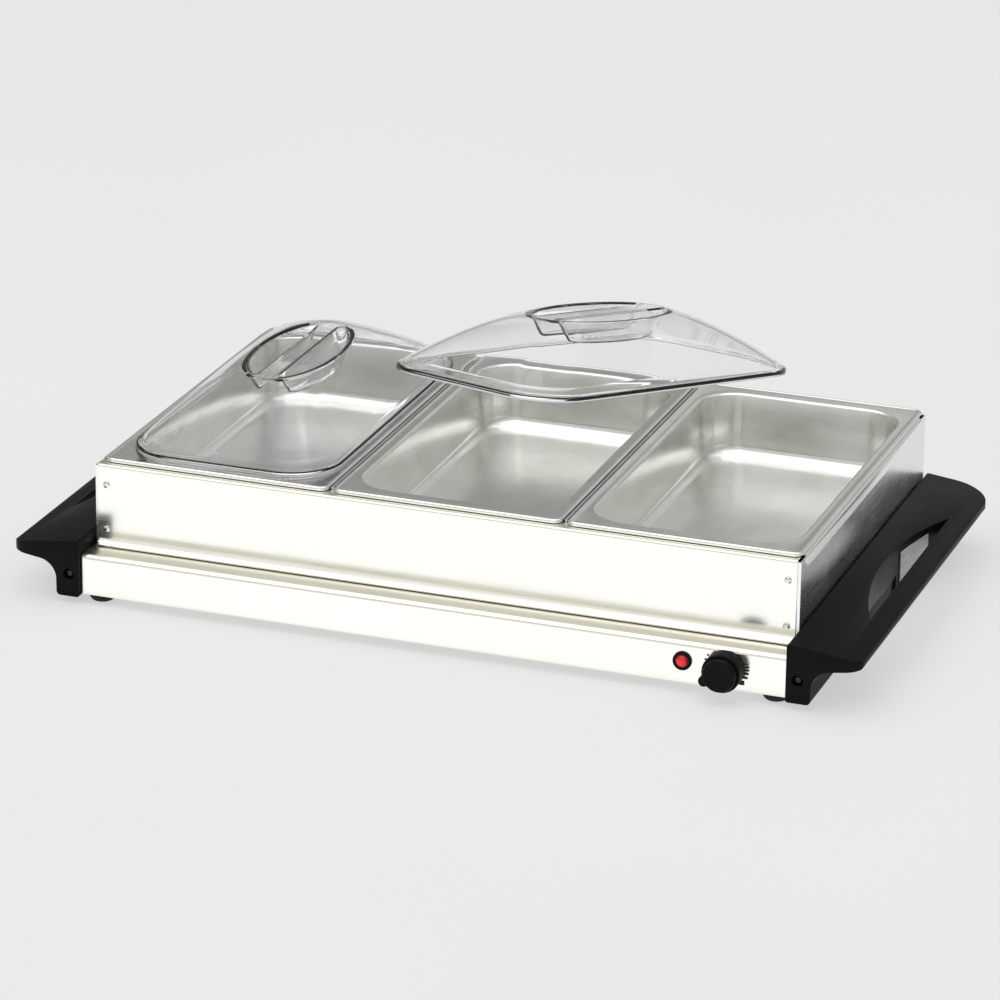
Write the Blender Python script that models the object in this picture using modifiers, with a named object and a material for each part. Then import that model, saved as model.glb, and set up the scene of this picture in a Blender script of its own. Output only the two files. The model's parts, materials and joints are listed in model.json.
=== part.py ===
"""Electric buffet server: a heated base, a lift-off riser frame, three food trays and two clear lids.

Metres, +Z up. The controls face -Y. The origin is at the centre of the footprint, on the table.
"""
import math

import bmesh
import bpy
from mathutils import Matrix, Vector

# Driving dimensions
HALF_WIDTH = 0.268            # base and riser, each side of the middle
BASE_FRONT = -0.174
BASE_BACK = 0.189
BASE_TOP = 0.038
SKIRT_BOTTOM = 0.0075
RISER_FRONT = -0.147
RISER_BACK = 0.185
RISER_TOP = 0.0995
SHEET = 0.0009                # stainless sheet thickness
GAP = 0.0003                  # clearance between touching pieces
FOOT_RADIUS = 0.010
FOOT_X = 0.2572
FOOT_YS = (-0.160, 0.172)

TRAY_SHIFT = 0.002            # the three trays sit slightly right of the middle
TRAY_PITCH = 0.1778
TRAY_HALF = (0.087, 0.162)    # outer rim, half width and half length
TRAY_CENTRE_Y = 0.020
TRAY_TOP = 0.103
TRAY_DEPTH = 0.049

LID_HALF = (0.080, 0.1535)
LID_RISE = 0.0425             # height of the grip above the lid's rim
LID_WALL = 0.0020
LID_CORNER = 0.040             # corner radius of the lid's rim
DOME_POWER = 1.45              # 1 would be a straight slope from rim to grip
GRIP_HALF = (0.0315, 0.0695)  # oval grip, half width and half length
GRIP_BAR_HALF = 0.0080
GRIP_WELL_DEPTH = 0.016
RAISED_LID_PLACE = (0.0754, -0.0316, 0.1791)
RAISED_LID_TURN = (-20.46, -9.90, -2.43)   # degrees about Z, then its own X, then its own Y

HANDLE_INNER = 0.2684
HANDLE_TIP = 0.3225
HANDLE_FRONT = -0.1775
HANDLE_BACK = 0.1912
HANDLE_FRONT_RADIUS = 0.012
HANDLE_BACK_RADIUS = 0.032
SLOT_OUTER = 0.3070
SLOT_INNER = 0.2870
SLOT_MIDDLE_Y = 0.007
SLOT_HALF_LENGTH = 0.108
PLATE_Y = (0.0435, 0.0875)
PLATE_Z = (0.0125, 0.0408)

KNOB_PLACE = (0.2235, 0.0228)   # X and Z on the front skirt
KNOB_RADIUS = 0.0142
KNOB_FRONT = -0.1915
KNOB_POINTER = 0.0182
KNOB_POINTER_ANGLE = 211.0
PILOT_PLACE = (0.1920, 0.0240)

ELEMENT_RADIUS = 0.0030
ELEMENT_PASSES = 6
ELEMENT_PITCH = 0.048
ELEMENT_FIRST_Y = -0.100
ELEMENT_HALF_X = 0.190
CORNER_STEPS = 6

# name: (red, green, blue, alpha), metallic, roughness
FINISHES = {
    "stainless": ((0.72, 0.72, 0.70, 1.0), 1.0, 0.28),
    "tray_steel": ((0.74, 0.74, 0.72, 1.0), 1.0, 0.14),
    "black_plastic": ((0.022, 0.024, 0.025, 1.0), 0.0, 0.42),
    "rubber": ((0.020, 0.020, 0.020, 1.0), 0.0, 0.75),
    "clear_lid": ((0.90, 0.92, 0.95, 0.25), 0.0, 0.05),
    "pilot_red": ((0.65, 0.02, 0.03, 1.0), 0.0, 0.15),
    "aluminium": ((0.80, 0.80, 0.81, 1.0), 1.0, 0.35),
    "heater_steel": ((0.30, 0.29, 0.28, 1.0), 1.0, 0.45),
    "wool": ((0.75, 0.72, 0.62, 1.0), 0.0, 0.95),
    "zinc": ((0.62, 0.62, 0.60, 1.0), 1.0, 0.35),
    "cream_plastic": ((0.70, 0.66, 0.56, 1.0), 0.0, 0.50),
    "grey_label": ((0.42, 0.44, 0.45, 1.0), 0.0, 0.45),
    "lead_red": ((0.45, 0.05, 0.04, 1.0), 0.0, 0.50),
}


# --- scene helpers -----------------------------------------------------------------------------

def clear_scene():
    for old in list(bpy.data.objects):
        bpy.data.objects.remove(old, do_unlink=True)


def make_collection(name):
    collection = bpy.data.collections.new(name)
    bpy.context.scene.collection.children.link(collection)
    return collection


def make_materials():
    materials = {}
    for name, (colour, metallic, roughness) in FINISHES.items():
        material = bpy.data.materials.new(name)
        material.use_nodes = True
        shader = material.node_tree.nodes["Principled BSDF"]
        shader.inputs["Base Color"].default_value = colour
        shader.inputs["Alpha"].default_value = colour[3]
        shader.inputs["Metallic"].default_value = metallic
        shader.inputs["Roughness"].default_value = roughness
        materials[name] = material
    return materials


clear_scene()
PARTS = make_collection("electric_buffet_server")
CUTTERS = make_collection("cutters")
MATERIALS = make_materials()


def add_part(name, mesh, finish, smooth=True):
    part = bpy.data.objects.new(name, mesh)
    PARTS.objects.link(part)
    if not mesh.materials:
        mesh.materials.append(MATERIALS[finish])
    if smooth:
        mesh.shade_smooth()
        mesh.set_sharp_from_angle(angle=math.radians(35.0))
    return part


def make_cutter(part):
    """Moves an object to the cutters, where it is never rendered or written out."""
    PARTS.objects.unlink(part)
    CUTTERS.objects.link(part)
    part.hide_render = True
    part.display_type = "WIRE"
    return part


def cut(part, cutter, operation="DIFFERENCE"):
    modifier = part.modifiers.new(cutter.name, "BOOLEAN")
    modifier.operation = operation
    modifier.solver = "EXACT"
    modifier.object = cutter


def solidify(part, thickness, side=-1.0, even=True):
    """side -1 puts the wall behind the drawn surface, +1 in front of it."""
    modifier = part.modifiers.new("wall", "SOLIDIFY")
    modifier.thickness = thickness
    modifier.offset = side
    modifier.use_even_offset = even


def bevel(part, width, segments=2, angle=40.0):
    modifier = part.modifiers.new("rounded_edges", "BEVEL")
    modifier.width = width
    modifier.segments = segments
    modifier.limit_method = "ANGLE"
    modifier.angle_limit = math.radians(angle)


def triangulate(part):
    """Fixes how bent faces are split, so that every reader sees the same surface."""
    part.modifiers.new("triangles", "TRIANGULATE")


def joint_empty(name, place, parent=None):
    empty = bpy.data.objects.new(name, None)
    PARTS.objects.link(empty)
    attach([empty], parent)
    empty.matrix_world = Matrix.Translation(place)
    bpy.context.view_layer.update()
    return empty


def attach(children, parent):
    """Parents objects without moving them."""
    if parent is None:
        return
    bpy.context.view_layer.update()
    for child in children:
        child.parent = parent
        child.matrix_parent_inverse = parent.matrix_world.inverted()


# --- shapes ------------------------------------------------------------------------------------

def arc(centre, radius, start, end, steps):
    points = []
    for i in range(steps + 1):
        angle = math.radians(start + (end - start) * i / steps)
        points.append((centre[0] + radius * math.cos(angle), centre[1] + radius * math.sin(angle)))
    return points


def box(name, low, high, finish, edge=0.0):
    mesh = bpy.data.meshes.new(name)
    bm = bmesh.new()
    bmesh.ops.create_cube(bm, size=1.0)
    size = [b - a for a, b in zip(low, high)]
    middle = [(a + b) / 2 for a, b in zip(low, high)]
    bmesh.ops.scale(bm, vec=size, verts=bm.verts)
    bmesh.ops.translate(bm, vec=middle, verts=bm.verts)
    bm.to_mesh(mesh)
    bm.free()
    part = add_part(name, mesh, finish)
    if edge:
        bevel(part, edge)
    return part


def cylinder(name, centre, radius, length, axis, finish, segments=24):
    """A plain cylinder along a world axis, centred on centre."""
    mesh = bpy.data.meshes.new(name)
    bm = bmesh.new()
    bmesh.ops.create_cone(bm, cap_ends=True, segments=segments, radius1=radius, radius2=radius,
                          depth=length)
    turn = Vector((0, 0, 1)).rotation_difference(Vector(axis)).to_matrix().to_4x4()
    bmesh.ops.transform(bm, matrix=Matrix.Translation(centre) @ turn, verts=bm.verts)
    bm.to_mesh(mesh)
    bm.free()
    return add_part(name, mesh, finish)


PLANES = {
    # columns: outline's first axis, outline's second axis, direction of the extrusion
    "XY": ((1, 0, 0), (0, 1, 0), (0, 0, 1)),
    "XZ": ((1, 0, 0), (0, 0, 1), (0, -1, 0)),
    "YZ": ((0, 1, 0), (0, 0, 1), (1, 0, 0)),
}


def prism(name, outline, plane, span, finish):
    """A flat outline on a world plane, extruded over span along the plane's remaining axis."""
    curve = bpy.data.curves.new(name, "CURVE")
    curve.dimensions = "2D"
    curve.fill_mode = "BOTH"
    curve.extrude = (span[1] - span[0]) / 2
    spline = curve.splines.new("POLY")
    spline.points.add(len(outline) - 1)
    for point, (a, b) in zip(spline.points, outline):
        point.co = (a, b, 0.0, 1.0)
    spline.use_cyclic_u = True
    source = bpy.data.objects.new(name + "_outline", curve)
    PARTS.objects.link(source)
    first, second, normal = (Vector(v) for v in PLANES[plane])
    turn = Matrix((first, second, normal)).transposed().to_4x4()
    middle = (span[0] + span[1]) / 2 * Vector([abs(value) for value in normal])
    source.matrix_world = Matrix.Translation(middle) @ turn
    bpy.context.view_layer.update()
    evaluated = source.evaluated_get(bpy.context.evaluated_depsgraph_get())
    mesh = bpy.data.meshes.new_from_object(evaluated)
    mesh.transform(source.matrix_world)
    bm = bmesh.new()
    bm.from_mesh(mesh)
    bmesh.ops.remove_doubles(bm, verts=bm.verts, dist=0.00001)
    bmesh.ops.recalc_face_normals(bm, faces=bm.faces)
    bm.to_mesh(mesh)
    bm.free()
    mesh.name = name
    bpy.data.objects.remove(source, do_unlink=True)
    return add_part(name, mesh, finish)


def sheet(name, rows, finish, thickness=SHEET, side=-1.0):
    """An open surface through rows of points, given wall thickness. Rows run side by side."""
    mesh = bpy.data.meshes.new(name)
    bm = bmesh.new()
    grid = [[bm.verts.new(point) for point in row] for row in rows]
    for row, following in zip(grid, grid[1:]):
        for i in range(len(row) - 1):
            bm.faces.new((row[i], following[i], following[i + 1], row[i + 1]))
    bm.to_mesh(mesh)
    bm.free()
    part = add_part(name, mesh, finish)
    solidify(part, thickness, side)
    return part


def folded_strip(name, profile, span, finish, thickness=SHEET, side=-1.0):
    """A YZ profile carried along X, from span[0] to span[1]."""
    left = [(span[0], y, z) for y, z in profile]
    right = [(span[1], y, z) for y, z in profile]
    return sheet(name, [left, right], finish, thickness, side)


def turned(name, profile, finish, place, axis=(0, 0, 1), steps=24):
    """A solid of revolution: the (radius, height) profile runs down its outer side."""
    mesh = bpy.data.meshes.new(name)
    bm = bmesh.new()
    verts = [bm.verts.new((radius, 0.0, height)) for radius, height in profile]
    for a, b in zip(verts, verts[1:]):
        bm.edges.new((a, b))
    bm.to_mesh(mesh)
    bm.free()
    part = add_part(name, mesh, finish, smooth=False)
    screw = part.modifiers.new("turning", "SCREW")
    screw.axis = "Z"
    screw.angle = math.radians(360.0)
    screw.steps = steps
    screw.render_steps = steps
    screw.use_merge_vertices = True
    screw.merge_threshold = 0.00001
    screw.use_smooth_shade = True
    turn = Vector((0, 0, 1)).rotation_difference(Vector(axis)).to_matrix().to_4x4()
    part.matrix_world = Matrix.Translation(place) @ turn
    return part


def tube(name, points, radius, finish):
    curve = bpy.data.curves.new(name, "CURVE")
    curve.dimensions = "3D"
    curve.bevel_depth = radius
    curve.bevel_resolution = 2
    curve.use_fill_caps = True
    spline = curve.splines.new("POLY")
    spline.points.add(len(points) - 1)
    for point, co in zip(spline.points, points):
        point.co = (*co, 1.0)
    curve.materials.append(MATERIALS[finish])
    part = bpy.data.objects.new(name, curve)
    PARTS.objects.link(part)
    return part


def smooth_route(knots, steps=4):
    """Points of a Catmull-Rom curve through the knots."""
    knots = [Vector(knot) for knot in knots]
    padded = [2 * knots[0] - knots[1], *knots, 2 * knots[-1] - knots[-2]]
    route = []
    for a, b, c, d in zip(padded, padded[1:], padded[2:], padded[3:]):
        for i in range(steps):
            t = i / steps
            route.append(0.5 * ((2 * b) + (c - a) * t + (2 * a - 5 * b + 4 * c - d) * t ** 2
                                + (3 * b - a - 3 * c + d) * t ** 3))
    route.append(knots[-1])
    return [tuple(point) for point in route]


def rounded_ring(half_x, half_y, radius, height, steps=CORNER_STEPS):
    """Corner arcs of a rounded rectangle, counter-clockwise from +X."""
    ring = []
    for quarter, (sx, sy) in enumerate(((1, 1), (-1, 1), (-1, -1), (1, -1))):
        centre = (sx * (half_x - radius), sy * (half_y - radius))
        for x, y in arc(centre, radius, 90 * quarter, 90 * quarter + 90, steps):
            ring.append((x, y, height))
    return ring


def bridge_rings(bm, rings):
    """Adds quads between successive rings of vertices, facing up and outward for rings that shrink."""
    for outer, inner in zip(rings, rings[1:]):
        count = len(outer)
        for i in range(count):
            j = (i + 1) % count
            bm.faces.new((outer[i], outer[j], inner[j], inner[i]))


# --- base --------------------------------------------------------------------------------------

def base_sheet_metal():
    fold = 0.003
    front = arc((BASE_FRONT + fold, BASE_TOP - fold), fold, 180, 90, 3)
    back = arc((BASE_BACK - fold, BASE_TOP - fold), fold, 90, 0, 3)
    profile = [(BASE_FRONT, SKIRT_BOTTOM), *front, *back, (BASE_BACK, SKIRT_BOTTOM)]
    plate_half = HALF_WIDTH - 0.0005
    plate = folded_strip("warming_plate", profile, (-plate_half, plate_half), "stainless")
    holes = (("knob_hole", KNOB_PLACE, 0.0042, BASE_FRONT),
             ("pilot_hole", PILOT_PLACE, 0.0053, BASE_FRONT),
             ("gland_hole", (0.2180, 0.0225), 0.0063, BASE_BACK))
    for name, (x, z), radius, y in holes:
        cutter = make_cutter(cylinder(name, (x, y, z), radius, 0.008, (0, 1, 0), "stainless"))
        cut(plate, cutter)

    inset = SHEET + 0.0004
    floor = SKIRT_BOTTOM + 0.001
    lip = 0.0155
    pan_fold = 0.002
    front = arc((BASE_FRONT + inset + pan_fold, floor + pan_fold), pan_fold, 180, 270, 3)
    back = arc((BASE_BACK - inset - pan_fold, floor + pan_fold), pan_fold, 270, 360, 3)
    profile = [(BASE_FRONT + inset, lip), *front, *back, (BASE_BACK - inset, lip)]
    pan_half = HALF_WIDTH - 0.0040
    pan = folded_strip("base_pan", profile, (-pan_half, pan_half), "zinc", side=1.0)
    for i, (x, y) in enumerate(pan_screw_places()):
        hole = cylinder(f"pan_screw_hole_{i + 1}", (x, y, floor), 0.0019, 0.006, (0, 0, 1), "zinc", 16)
        cut(pan, make_cutter(hole))
        profile = [(0.0, 0.0), (0.0026, -0.0003), (0.0034, -0.0012), (0.0034, -0.0018),
                   (0.0016, -0.0018), (0.0016, -0.0090), (0.0, -0.0090)]
        turned(f"pan_screw_{i + 1}", profile, "zinc", (x, y, floor - GAP - 0.0018), (0, 0, -1), 16)

    for side, name in ((-1, "end_plate_left"), (1, "end_plate_right")):
        inner, outer = sorted((side * (HALF_WIDTH - 0.0018), side * (HALF_WIDTH - 0.0032)))
        box(name, (inner, BASE_FRONT + 0.0030, floor + SHEET + 0.0006),
            (outer, BASE_BACK - 0.0030, BASE_TOP - SHEET - 0.0006), "zinc")


def pan_screw_places():
    return [(x, y) for x in (-0.150, 0.150) for y in (-0.148, 0.178)]


def feet():
    profile = [(0.0, 0.0081), (0.0088, 0.0081), (FOOT_RADIUS, 0.0074), (FOOT_RADIUS, 0.0045),
               (0.0090, 0.0020), (0.0072, 0.0005), (0.0060, 0.0), (0.0, 0.0)]
    for y, row in zip(FOOT_YS, ("front", "back")):
        for side, hand in ((-1, "left"), (1, "right")):
            turned(f"foot_{row}_{hand}", profile, "rubber", (side * FOOT_X, y, 0.0), steps=20)


def handle_section():
    """Half section on XZ: the wing slopes to a rounded tip, and a leg drops beside the base."""
    tip = arc((HANDLE_TIP - 0.0040, 0.0388), 0.0040, 75, -60, 4)
    throat = arc((0.3015, 0.0175), 0.0150, 100, 172, 4)
    heel = arc((0.2835, 0.0085), 0.0030, 0, -90, 3)
    toe = arc((HANDLE_INNER + 0.0020, 0.0075), 0.0020, -90, -180, 2)
    top = [(HANDLE_INNER, 0.0478), (HANDLE_INNER + 0.0014, 0.0492), (0.3000, 0.0456)]
    return [*top, *tip, *throat, *heel, *toe]


def handle_plan():
    back = HANDLE_BACK
    outline = [(HANDLE_INNER - 0.01, HANDLE_FRONT), (HANDLE_INNER - 0.01, back)]
    outline += arc((HANDLE_TIP - HANDLE_BACK_RADIUS, back - HANDLE_BACK_RADIUS),
                   HANDLE_BACK_RADIUS, 90, 0, 6)
    outline += arc((HANDLE_TIP - HANDLE_FRONT_RADIUS, HANDLE_FRONT + HANDLE_FRONT_RADIUS),
                   HANDLE_FRONT_RADIUS, 0, -90, 4)
    return outline


def slot_bow(inset, start_y, end_y, steps):
    """Points on the slot's bowed inner wall, moved into the slot by inset."""
    bow = SLOT_OUTER - SLOT_INNER
    radius = (SLOT_HALF_LENGTH ** 2 + bow ** 2) / (2 * bow)
    start, end = (math.degrees(math.asin((y - SLOT_MIDDLE_Y) / radius)) for y in (start_y, end_y))
    centre = (SLOT_INNER + radius, SLOT_MIDDLE_Y)
    return arc(centre, radius - inset, 180 - start, 180 - end, steps)


def slot_plan():
    """D-shaped finger slot: straight on the outer side, bowed towards the base."""
    return slot_bow(0.0, SLOT_MIDDLE_Y - SLOT_HALF_LENGTH, SLOT_MIDDLE_Y + SLOT_HALF_LENGTH, 12)


def mirrored(points):
    return [(-x, y) for x, y in reversed(points)]


def handles():
    for side, hand in ((-1, "left"), (1, "right")):
        section, plan, slot = handle_section(), handle_plan(), slot_plan()
        if side < 0:
            section, plan, slot = mirrored(section), mirrored(plan), mirrored(slot)
        handle = prism(f"handle_{hand}", section, "XZ", (HANDLE_FRONT - 0.01, HANDLE_BACK + 0.01),
                       "black_plastic")
        limits = prism(f"handle_plan_{hand}", plan, "XY", (-0.01, 0.08), "black_plastic")
        cut(handle, make_cutter(limits), "INTERSECT")
        near, far = sorted((side * 0.2760, side * 0.3010))
        label_web = box(f"label_web_{hand}", (near, PLATE_Y[0] - 0.006, 0.0100),
                        (far, PLATE_Y[1] + 0.006, 0.0300), "black_plastic")
        cut(handle, make_cutter(label_web), "UNION")
        finger_slot = prism(f"finger_slot_{hand}", slot, "XY", (0.0, 0.08), "black_plastic")
        cut(handle, make_cutter(finger_slot))
        for y, facing, end in ((HANDLE_FRONT, -1, "front"), (HANDLE_BACK, 1, "back")):
            handle_screw(handle, side, y, facing, f"{end}_{hand}")


def rating_plate():
    """Blank label on the bowed inner wall of the right handle's slot, backed by the web below the wing."""
    back = slot_bow(GAP, *PLATE_Y, 5)
    face = slot_bow(GAP + 0.0005, *PLATE_Y, 5)
    prism("rating_plate", back + face[::-1], "XY", PLATE_Z, "grey_label")


def handle_screw(handle, side, y, facing, place_name):
    x, z = side * 0.2768, 0.0225
    recess = cylinder(f"screw_recess_{place_name}", (x, y, z), 0.0040, 0.0100, (0, 1, 0),
                      "black_plastic", 20)
    cut(handle, make_cutter(recess))
    shank = cylinder(f"screw_bore_{place_name}", (x, y, z), 0.0019, 0.0440, (0, 1, 0),
                     "black_plastic", 16)
    cut(handle, make_cutter(shank))
    profile = [(0.0, 0.0023), (0.0020, 0.0021), (0.0034, 0.0010), (0.0034, 0.0),
               (0.0016, 0.0), (0.0016, -0.0150), (0.0, -0.0160)]
    seat = y - facing * (0.0050 - GAP)
    turned(f"handle_screw_{place_name}", profile, "zinc", (x, seat, z), (0, facing, 0), 16)


# --- controls ----------------------------------------------------------------------------------

def controls():
    x, z = KNOB_PLACE
    spin = joint_empty("thermostat_spin", (x, BASE_FRONT, z))
    knob_back = BASE_FRONT - 0.0006
    start, end = KNOB_POINTER_ANGLE + 14.0, KNOB_POINTER_ANGLE + 346.0
    outline = arc((0.0, 0.0), KNOB_RADIUS, start, end, 26)
    outline += arc((0.0, 0.0), KNOB_POINTER, KNOB_POINTER_ANGLE - 8.0, KNOB_POINTER_ANGLE + 8.0, 2)
    knob = prism("thermostat_knob", outline, "XZ", (KNOB_FRONT, knob_back), "black_plastic")
    knob.data.transform(Matrix.Translation((0.0, -BASE_FRONT, 0.0)))
    knob.location = (x, BASE_FRONT, z)
    bore = cylinder("knob_bore", (x, knob_back, z), 0.0033, 0.0200, (0, 1, 0), "black_plastic", 20)
    cut(knob, make_cutter(bore))
    shaft = cylinder("thermostat_shaft", (0.0, 0.0, 0.0), 0.0030, 0.0130, (0, 1, 0), "zinc", 20)
    shaft.location = (x, BASE_FRONT - 0.0030, z)
    attach([knob, shaft], spin)

    body_front = BASE_FRONT + 0.0038
    box("thermostat_body", (x - 0.016, body_front, z - 0.0115), (x + 0.016, body_front + 0.022, z + 0.0115),
        "cream_plastic", edge=0.0010)

    x, z = PILOT_PLACE
    bezel = [(0.0051, 0.0016), (0.0060, 0.0016), (0.0069, 0.0008), (0.0069, 0.0),
             (0.0051, 0.0), (0.0051, 0.0016)]
    turned("pilot_bezel", bezel, "black_plastic", (x, BASE_FRONT - GAP, z), (0, -1, 0))
    lens = [(0.0, 0.0036), (0.0020, 0.0033), (0.0036, 0.0025), (0.0047, 0.0012),
            (0.0047, -0.0080), (0.0, -0.0080)]
    turned("pilot_lens", lens, "pilot_red", (x, BASE_FRONT - GAP, z), (0, -1, 0))
    cylinder("pilot_lamp", (x, BASE_FRONT + 0.0158, z), 0.0045, 0.0150, (0, 1, 0), "cream_plastic", 16)


# --- heater and wiring inside the base ----------------------------------------------------------

def heater():
    plate_under = BASE_TOP - SHEET
    centre_z = plate_under - GAP - ELEMENT_RADIUS
    bend = ELEMENT_PITCH / 2
    points = [(ELEMENT_HALF_X + 0.034, ELEMENT_FIRST_Y, centre_z)]
    for i in range(ELEMENT_PASSES - 1):
        y = ELEMENT_FIRST_Y + i * ELEMENT_PITCH
        side = -1 if i % 2 == 0 else 1
        first = -90 if side > 0 else 270
        last = 90
        turn = arc((side * (ELEMENT_HALF_X - bend), y + bend), bend, first, last, 6)
        points += [(px, py, centre_z) for px, py in turn]
    last_y = ELEMENT_FIRST_Y + (ELEMENT_PASSES - 1) * ELEMENT_PITCH
    points.append((ELEMENT_HALF_X + 0.034, last_y, centre_z))
    tube("heating_element", points, ELEMENT_RADIUS, "heater_steel")

    below = centre_z - ELEMENT_RADIUS - GAP
    for i, x in enumerate((-0.110, 0.110)):
        box(f"element_clamp_{i + 1}", (x - 0.007, -0.128, below - 0.0010), (x + 0.007, 0.166, below), "zinc")
    reflector_top = below - 0.0010 - GAP
    box("heat_reflector", (-0.222, -0.132, reflector_top - 0.0006), (0.205, 0.174, reflector_top),
        "aluminium")
    pan_top = SKIRT_BOTTOM + 0.001 + SHEET
    box("insulation_mat", (-0.200, -0.130, pan_top + GAP), (0.205, 0.170, reflector_top - 0.0006 - GAP),
        "wool")
    cylinder("thermal_fuse", (0.040, ELEMENT_FIRST_Y + bend, plate_under - 0.0032), 0.0026, 0.0120,
             (1, 0, 0), "zinc", 14)

    box("terminal_block", (0.232, 0.118, pan_top + GAP), (0.256, 0.138, pan_top + 0.0125),
        "cream_plastic", edge=0.0008)
    gland = [(0.0034, 0.0025), (0.0078, 0.0025), (0.0085, 0.0018), (0.0085, GAP), (0.0058, GAP),
             (0.0058, -0.0120), (0.0034, -0.0120), (0.0034, 0.0025)]
    turned("cord_gland", gland, "black_plastic", (0.2180, BASE_BACK, 0.0225), (0, 1, 0), 20)
    leads(centre_z)


def leads(element_z):
    radius = 0.0011
    knob_x, knob_z = KNOB_PLACE
    behind = BASE_FRONT + 0.0258 + GAP
    last_y = ELEMENT_FIRST_Y + (ELEMENT_PASSES - 1) * ELEMENT_PITCH
    element_end = ELEMENT_HALF_X + 0.034 + GAP
    block_front, block_back, block_z = 0.118 - GAP, 0.138 + GAP, 0.0160
    stub = 0.005
    mains = [(knob_x + 0.012, behind, knob_z - 0.006), (knob_x + 0.012, behind + stub, knob_z - 0.006),
             (knob_x + 0.015, behind + 0.022, knob_z - 0.008), (0.246, -0.070, 0.0125),
             (0.248, 0.0, 0.0120), (0.245, 0.080, 0.0140), (0.244, block_front - stub, block_z),
             (0.244, block_front, block_z)]
    front = [(knob_x + 0.008, behind, knob_z + 0.006), (knob_x + 0.008, behind + stub, knob_z + 0.006),
             (knob_x + 0.013, behind + 0.018, knob_z + 0.009),
             (0.238, ELEMENT_FIRST_Y - 0.012, element_z - 0.001),
             (element_end + stub, ELEMENT_FIRST_Y, element_z), (element_end, ELEMENT_FIRST_Y, element_z)]
    rear = [(0.250, block_back, block_z), (0.250, block_back + stub, block_z),
            (0.2505, 0.1490, 0.0240), (0.2420, 0.1450, element_z - 0.001),
            (element_end + stub, last_y, element_z), (element_end, last_y, element_z)]
    pilot = [(knob_x - 0.012, behind, knob_z), (knob_x - 0.012, behind + stub, knob_z),
             (knob_x - 0.020, behind + 0.0085, knob_z + 0.001),
             (PILOT_PLACE[0], BASE_FRONT + 0.0233 + GAP + stub, PILOT_PLACE[1]),
             (PILOT_PLACE[0], BASE_FRONT + 0.0233 + GAP, PILOT_PLACE[1])]
    for name, knots in (("lead_mains", mains), ("lead_element_front", front),
                        ("lead_element_rear", rear), ("lead_pilot", pilot)):
        tube(name, smooth_route(knots), radius, "lead_red")


# --- riser frame -------------------------------------------------------------------------------

def rivet_places():
    return [(side * 0.2590, z) for side in (-1, 1) for z in (0.0498, 0.0842)]


def riser():
    lift = joint_empty("riser_lift", (0.0, (RISER_FRONT + RISER_BACK) / 2, BASE_TOP))
    panel_half = HALF_WIDTH - 0.0025
    fold = 0.0018
    flange = 0.012
    flare_radius = 0.0045
    bottom = BASE_TOP + 0.0014
    flare = arc((RISER_FRONT - flare_radius, bottom + flare_radius), flare_radius, -90, 0, 4)
    top_front = arc((RISER_FRONT + fold, RISER_TOP - fold), fold, 180, 90, 3)
    front_profile = [(RISER_FRONT - flare_radius - 0.0020, bottom), *flare, *top_front,
                     (RISER_FRONT + flange, RISER_TOP)]
    front = folded_strip("riser_front", front_profile, (-panel_half, panel_half), "stainless")
    top_back = arc((RISER_BACK - fold, RISER_TOP - fold), fold, 90, 0, 3)
    back_profile = [(RISER_BACK - flange, RISER_TOP), *top_back, (RISER_BACK, BASE_TOP + 0.0005)]
    back = folded_strip("riser_back", back_profile, (-panel_half, panel_half), "stainless")

    pieces = [front, back]
    sides = [riser_side(-1, "riser_side_left"), riser_side(1, "riser_side_right")]
    pieces += sides
    profile = [(0.0, 0.0010), (0.0012, 0.0009), (0.0021, 0.0005), (0.0026, 0.0), (0.0015, 0.0),
               (0.0015, -0.0040), (0.0, -0.0040)]
    for end, y, facing, panel in (("front", RISER_FRONT, -1, front), ("back", RISER_BACK, 1, back)):
        for x, z in rivet_places():
            hand, level = ("left", "right")[x > 0], ("low", "high")[z > 0.07]
            name = f"rivet_{end}_{hand}_{level}"
            hole = make_cutter(cylinder(name + "_hole", (x, y, z), 0.0018, 0.010, (0, 1, 0), "zinc", 16))
            cut(panel, hole)
            cut(sides[x > 0], hole)
            pieces.append(turned(name, profile, "zinc", (x, y + facing * GAP, z), (0, facing, 0), 16))
    for side_panel in sides:
        triangulate(side_panel)
    for i, x in enumerate((TRAY_SHIFT - TRAY_PITCH / 2, TRAY_SHIFT + TRAY_PITCH / 2)):
        pieces.append(divider_bar(f"divider_bar_{i + 1}", x))
    attach(pieces, lift)
    return lift


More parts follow.
